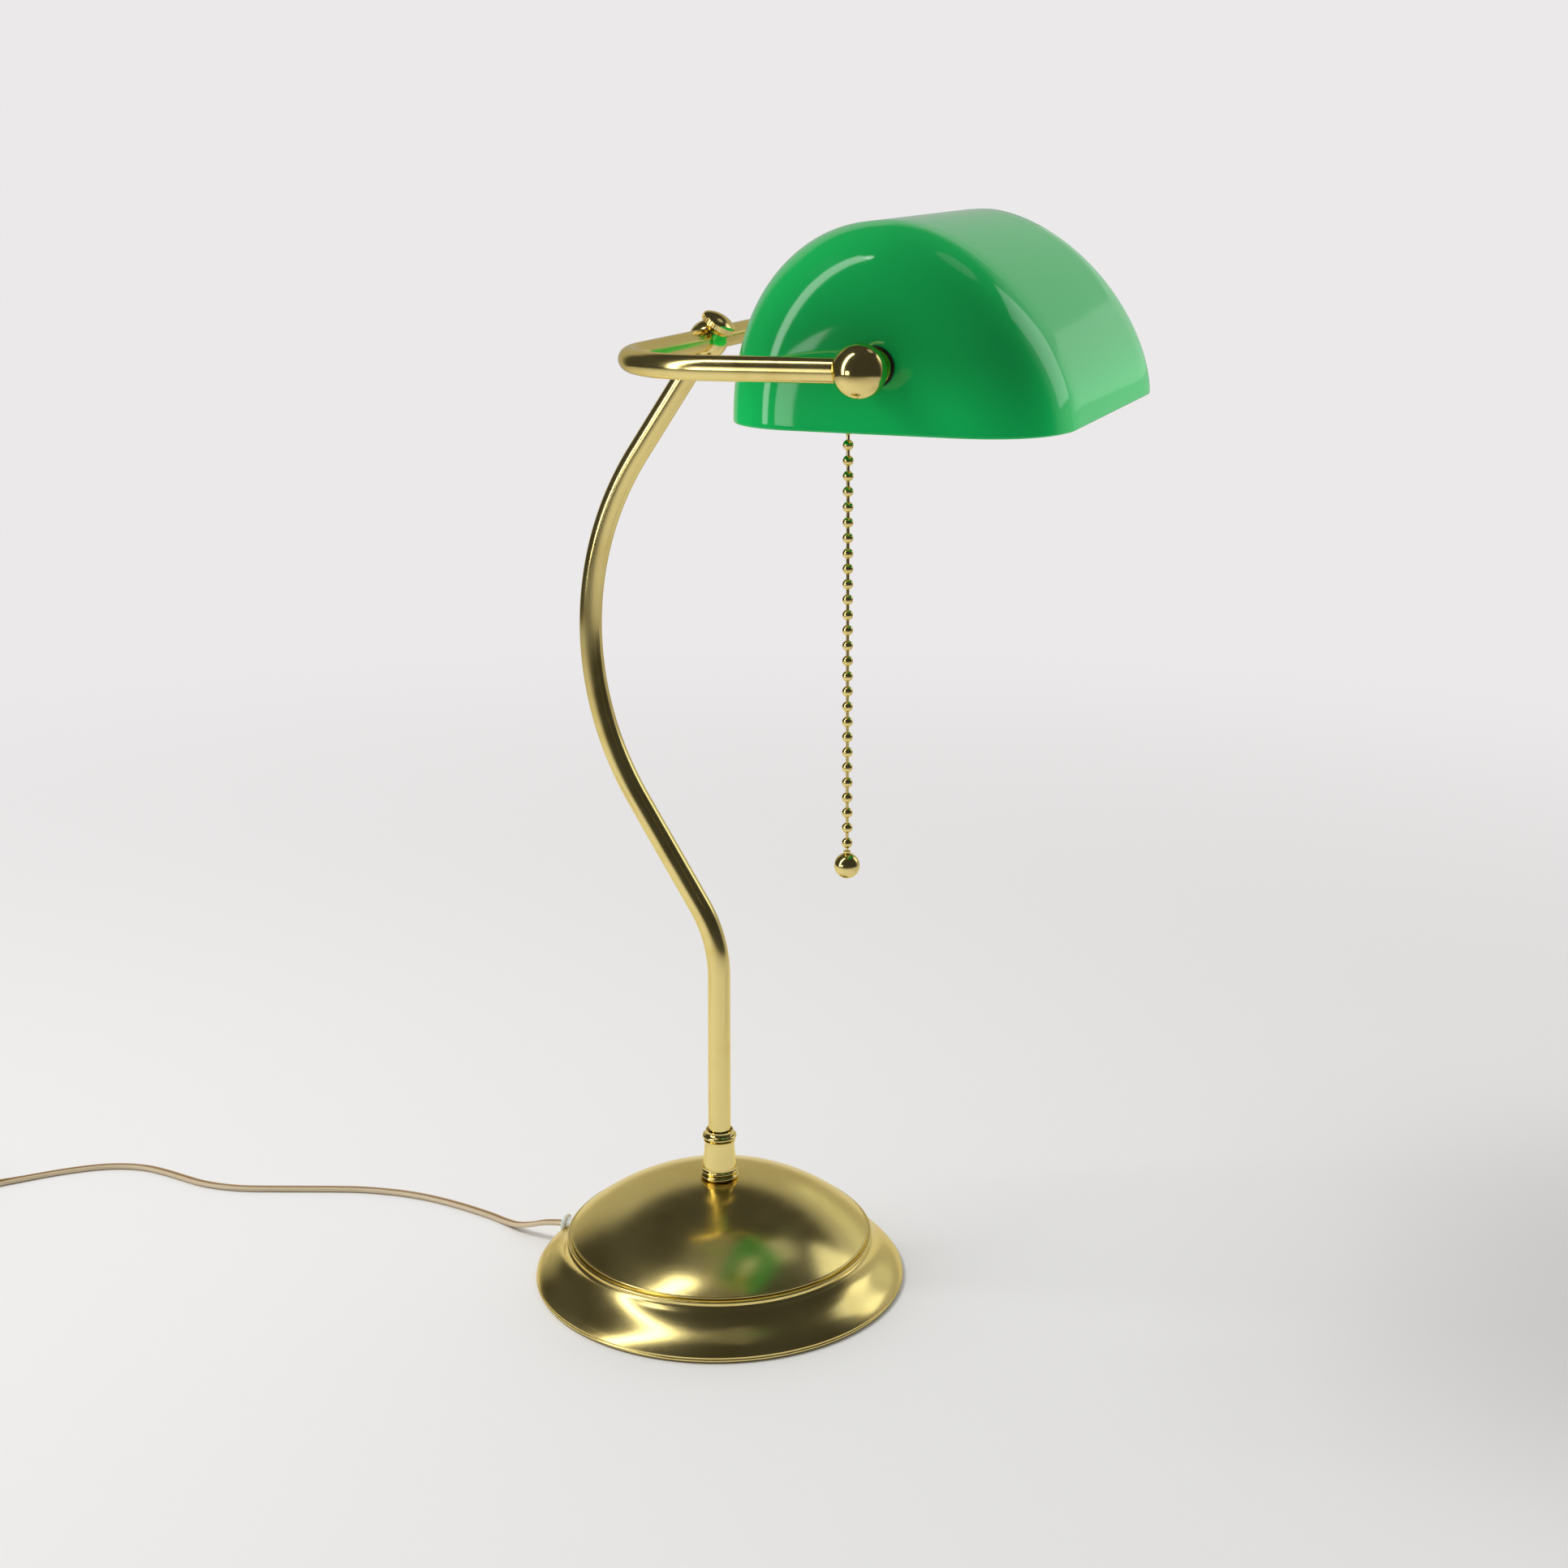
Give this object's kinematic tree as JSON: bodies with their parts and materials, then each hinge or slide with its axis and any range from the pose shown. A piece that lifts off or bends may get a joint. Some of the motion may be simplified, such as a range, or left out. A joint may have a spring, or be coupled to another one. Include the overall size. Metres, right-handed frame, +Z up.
{
  "type": "desk lamp",
  "caption": "Banker desk lamp: weighted brass dome base, bowed stem, tilting yoke with a green glass shade, pull-chain switch, flat lead and plug.",
  "frame": {"origin": "centre of the felt foot, on the desk", "axes": "+Z up, -Y towards the front of the lamp, X along the shade"},
  "size_m": [0.2679, 0.6051, 0.4783],
  "materials": {
    "base_brass": "spun and lacquered",
    "tube_brass": "polished",
    "fitting_brass": "polished",
    "iron": "rough, painted black",
    "board": "hardboard",
    "felt": "felt",
    "clear_pvc": "clear PVC",
    "zinc_steel": "zinc plated",
    "wire_pvc": "PVC insulation",
    "lead_pvc": "translucent gold PVC",
    "phenolic": "moulded phenolic",
    "nylon": "moulded nylon",
    "cap_alloy": "pressed",
    "bulb_opal": "opal coated inside",
    "cased_glass": "green cased over opal white, glossy",
    "tie_paper": "paper-covered wire",
    "plug_pvc": "moulded gold PVC"
  },
  "bodies": {
    "base": {"base_shell": "base_brass", "base_weight": "iron", "base_board": "board", "felt_pad": "felt", "cord_grommet": "clear_pvc", "cord_clamp": "zinc_steel", "clamp_screws": "zinc_steel", "dome_nut": "zinc_steel", "weight_washer": "zinc_steel", "weight_nut": "zinc_steel", "stem_collar": "fitting_brass", "stem": "tube_brass", "stem_wires": "wire_pvc", "inner_lead": "lead_pvc", "knuckle": "fitting_brass", "mains_lead": "lead_pvc", "lead_coil": "lead_pvc", "lead_tail": "lead_pvc", "coil_tie": "tie_paper", "plug_relief": "plug_pvc", "plug_body": "plug_pvc", "plug_blades": "fitting_brass"},
    "thumb_screw": {"thumb_screw": "fitting_brass"},
    "yoke": {"yoke_tube": "tube_brass", "ball_left": "fitting_brass", "ball_right": "fitting_brass", "set_screws": "zinc_steel", "pivot_nipple": "fitting_brass", "pivot_stud": "fitting_brass", "outer_washers": "fitting_brass", "inner_washers": "fitting_brass", "lock_nuts": "zinc_steel", "arm_wires": "wire_pvc", "socket_cap": "fitting_brass", "socket_shell": "fitting_brass", "switch_block": "phenolic", "pull_spout": "fitting_brass", "bulb_cap": "cap_alloy", "bulb_glass": "bulb_opal"},
    "shade": {"shade": "cased_glass", "shade_bushes": "nylon"},
    "switch_link": {"pull_link": "fitting_brass"},
    "chain_swivel": {"swivel_bead": "fitting_brass"},
    "chain": {"pull_chain": "fitting_brass", "chain_ball": "fitting_brass"}
  },
  "joints": [
    {"name": "yoke_tilt", "type": "hinge", "parent": "base", "child": "yoke", "pos_m": [0, 0.0041, 0.4226], "axis": [1, 0, 0], "range_deg": [-40, 50]},
    {"name": "thumb_screw_turn", "type": "hinge", "parent": "base", "child": "thumb_screw", "pos_m": [0, 0.0041, 0.4226], "axis": [0, -0.5498, 0.8353], "range_deg": [0, 360]},
    {"name": "shade_tilt", "type": "hinge", "parent": "yoke", "child": "shade", "pos_m": [0, -0.10639, 0.42434], "axis": [1, 0, 0], "range_deg": [-35, 35]},
    {"name": "switch_pull", "type": "slide", "parent": "yoke", "child": "switch_link", "axis": [0, 0, -1], "range_m": [0, 0.006], "stiffness_N_per_m": 1200, "springref_m": -0.001},
    {"name": "chain_sway", "type": "hinge", "parent": "switch_link", "child": "chain_swivel", "pos_m": [-0.075, -0.086, 0.4196], "axis": [0, 1, 0], "range_deg": [-30, 30]},
    {"name": "chain_swing", "type": "hinge", "parent": "chain_swivel", "child": "chain", "pos_m": [-0.075, -0.086, 0.4196], "axis": [1, 0, 0], "range_deg": [-40, 40]}
  ]
}
